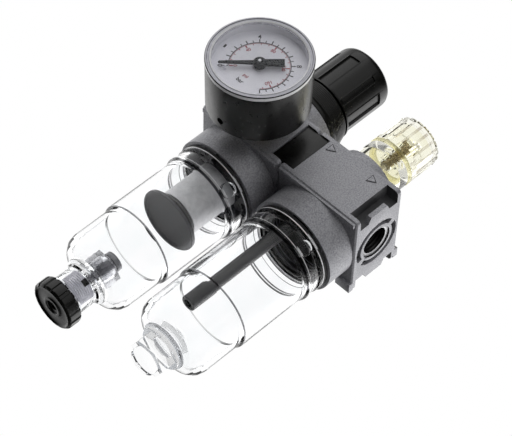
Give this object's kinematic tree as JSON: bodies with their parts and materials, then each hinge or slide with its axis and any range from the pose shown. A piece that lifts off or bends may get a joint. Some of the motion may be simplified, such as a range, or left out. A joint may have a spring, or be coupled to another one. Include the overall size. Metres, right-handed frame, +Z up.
{
  "type": "filter-regulator and lubricator unit",
  "caption": "Compressed-air filter-regulator with pressure gauge and adjusting knob, clamped to a lubricator with sight dome; both have clear twist-off bowls.",
  "frame": {"origin": "middle of the rear coupling clamp's outer face, level with the port axis, on the joint plane between the two modules", "axes": "+X is the direction of flow from inlet to outlet, +Z is up towards the knobs, -Y is the front, where the gauge faces"},
  "size_m": [0.0801, 0.0748, 0.1641],
  "materials": {
    "casting": "fine textured satin paint on a zinc casting",
    "black_plastic": "satin moulded",
    "grey_plastic": "matt moulded",
    "clear_bowl": "clear polycarbonate",
    "clear_amber": "clear moulded, faint yellow tint",
    "amber": "translucent amber",
    "rubber": "matt",
    "steel": "bright zinc plated",
    "brass": "machined",
    "sinter": "sintered, fine grained",
    "dial": "printed, pale grey"
  },
  "bodies": {
    "unit": {"regulator_body": "casting", "bonnet": "black_plastic", "diaphragm": "rubber", "valve_guide": "black_plastic", "swirl_deflector": "grey_plastic", "filter_element": "sinter", "baffle": "grey_plastic", "filter_bowl_oring": "rubber", "control_spring": "steel", "valve_spring": "steel", "gauge_seal": "rubber", "gauge_stem": "brass", "gauge_case": "black_plastic", "gauge_dial": "dial", "stop_pin": "dial", "gauge_window": "clear_bowl", "bourdon_tube": "brass", "movement_plate": "brass", "clamp_front": "black_plastic", "clamp_rear": "black_plastic", "clamp_screw_front": "steel", "clamp_screw_rear": "steel", "module_oring": "rubber", "lubricator_body": "casting", "dome_oring": "rubber", "sight_dome": "clear_amber", "dome_ring": "amber", "drip_tube": "clear_amber", "oil_insert": "black_plastic", "siphon_tube": "black_plastic", "siphon_tip": "black_plastic", "lubricator_bowl_oring": "rubber"},
    "adjuster": {"adjusting_screw": "steel"},
    "knob": {"adjusting_knob": "black_plastic"},
    "nut": {"spring_nut": "brass"},
    "plate": {"diaphragm_plate": "steel"},
    "poppet": {"valve_poppet": "brass"},
    "filter_bowl": {"filter_bowl": "clear_bowl", "drain_stem": "clear_bowl", "drain_nut": "clear_bowl", "drain_washer": "clear_bowl"},
    "drain_knob": {"drain_knob": "black_plastic"},
    "drain_valve": {"drain_valve": "black_plastic"},
    "pointer": {"gauge_pointer": "black_plastic"},
    "sector": {"sector_gear": "brass"},
    "oil_knob": {"oil_knob": "clear_amber", "metering_screw": "brass"},
    "check_ball": {"check_ball": "steel"},
    "flow_vane": {"flow_vane": "steel"},
    "oil_bowl": {"lubricator_bowl": "clear_bowl", "plug_washer": "grey_plastic"},
    "plug": {"fill_plug": "clear_bowl"}
  },
  "joints": [
    {"name": "knob_turn", "type": "hinge", "parent": "unit", "child": "adjuster", "pos_m": [-0.02, -0.02, 0.045], "axis": [0, 0, -1], "range_deg": [0, 1441]},
    {"name": "knob_lift", "type": "slide", "parent": "adjuster", "child": "knob", "axis": [0, 0, 1], "range_m": [0, 0.0025]},
    {"name": "nut_travel", "type": "slide", "parent": "unit", "child": "nut", "axis": [0, 0, -1], "range_m": [0, 0.006], "deforming": ["control_spring"]},
    {"name": "plate_travel", "type": "slide", "parent": "unit", "child": "plate", "axis": [0, 0, -1], "range_m": [0, 0.0012], "stiffness_N_per_m": 800, "springref_m": -0.0004, "deforming": ["diaphragm"]},
    {"name": "poppet_travel", "type": "slide", "parent": "unit", "child": "poppet", "axis": [0, 0, -1], "range_m": [0, 0.0012], "deforming": ["valve_spring"]},
    {"name": "filter_bowl_twist", "type": "hinge", "parent": "unit", "child": "filter_bowl", "pos_m": [-0.02, -0.02, -0.03], "axis": [0, 0, 1], "range_deg": [0, 45]},
    {"name": "drain_turn", "type": "hinge", "parent": "filter_bowl", "child": "drain_knob", "pos_m": [-0.02, -0.02, -0.1], "axis": [0, 0, 1], "range_deg": [0, 90.2]},
    {"name": "drain_lift", "type": "slide", "parent": "filter_bowl", "child": "drain_valve", "axis": [0, 0, 1], "range_m": [0, 0.0015]},
    {"name": "pointer_swing", "type": "hinge", "parent": "unit", "child": "pointer", "pos_m": [-0.02, -0.0715, -0.00265], "axis": [0, 1, 0], "range_deg": [0, 270], "stiffness_Nm_per_rad": 0.00002, "springref_deg": -28.65},
    {"name": "sector_swing", "type": "hinge", "parent": "unit", "child": "sector", "pos_m": [-0.02, -0.0639, -0.01165], "axis": [0, 1, 0], "range_deg": [-33.8, 0]},
    {"name": "oil_knob_turn", "type": "hinge", "parent": "unit", "child": "oil_knob", "pos_m": [0.02, -0.0252, 0.036], "axis": [0, 0, 1], "range_deg": [0, 540]},
    {"name": "ball_lift", "type": "slide", "parent": "unit", "child": "check_ball", "axis": [0, 0, 1], "range_m": [0, 0.0015]},
    {"name": "vane_flex", "type": "hinge", "parent": "unit", "child": "flow_vane", "pos_m": [0.024, -0.02, 0.0036], "axis": [0, -1, 0], "range_deg": [0, 35], "stiffness_Nm_per_rad": 0.0005},
    {"name": "oil_bowl_twist", "type": "hinge", "parent": "unit", "child": "oil_bowl", "pos_m": [0.02, -0.02, -0.03], "axis": [0, 0, 1], "range_deg": [0, 45]},
    {"name": "plug_turn", "type": "hinge", "parent": "oil_bowl", "child": "plug", "pos_m": [0.02, -0.02, -0.09], "axis": [0, 0, 1], "range_deg": [0, 360]}
  ],
  "couplings": [
    {"joint": "knob_turn", "follows": "nut_travel", "rad_per_m": 4188.8},
    {"joint": "poppet_travel", "follows": "plate_travel", "ratio": 1},
    {"joint": "drain_turn", "follows": "drain_lift", "rad_per_m": 1047.2},
    {"joint": "sector_swing", "follows": "pointer_swing", "ratio": -0.125}
  ]
}
